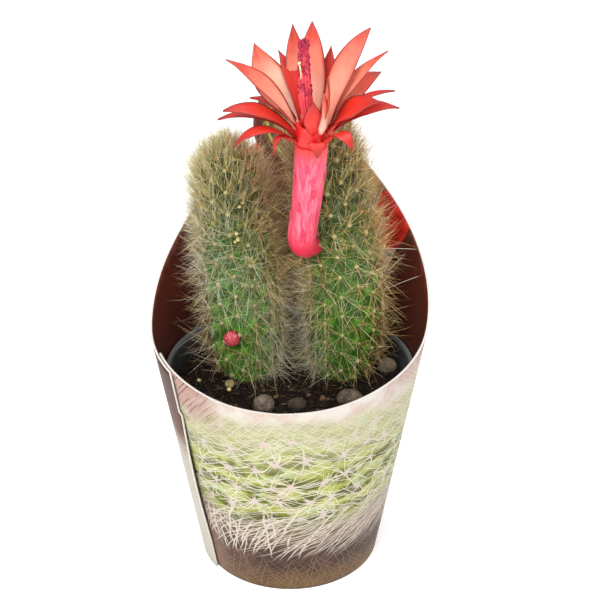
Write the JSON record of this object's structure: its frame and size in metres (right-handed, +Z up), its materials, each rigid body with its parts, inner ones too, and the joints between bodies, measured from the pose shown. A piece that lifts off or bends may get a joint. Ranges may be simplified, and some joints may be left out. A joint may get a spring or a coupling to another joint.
{
  "type": "potted monkey tail cactus",
  "caption": "Small potted cactus with ribbed, spiny upright stems and an open red tubular flower, in a plastic plant pot inside a tapered card sleeve with a tall rounded header.",
  "frame": {"origin": "centre of the plant pot's underside, on the surface that the object stands on", "axes": "+Z is up; -Y is the front, where the card is lowest; +Y is the back, where the card's header stands; +X is to the right seen from the front"},
  "size_m": [0.0948, 0.1031, 0.1898],
  "materials": {
    "card": "satin",
    "pot_plastic": "satin",
    "soil": "matte",
    "stem": "satin",
    "flower_tube": "satin",
    "tepals": "satin",
    "stamens": "matte",
    "bud": "satin",
    "stone": "matte",
    "pale_stone": "matte"
  },
  "bodies": {
    "root": {"sleeve": "card", "nursery_pot": "pot_plastic", "soil": "soil", "stem_left": "stem", "stem_right": "stem", "flower_tube": "flower_tube", "flower_tepals": "tepals", "flower_stamens": "stamens", "bud": "bud", "stone_1": "stone", "stone_2": "stone", "stone_3": "stone", "stone_4": "stone", "stone_5": "pale_stone", "stone_6": "stone"}
  },
  "joints": []
}
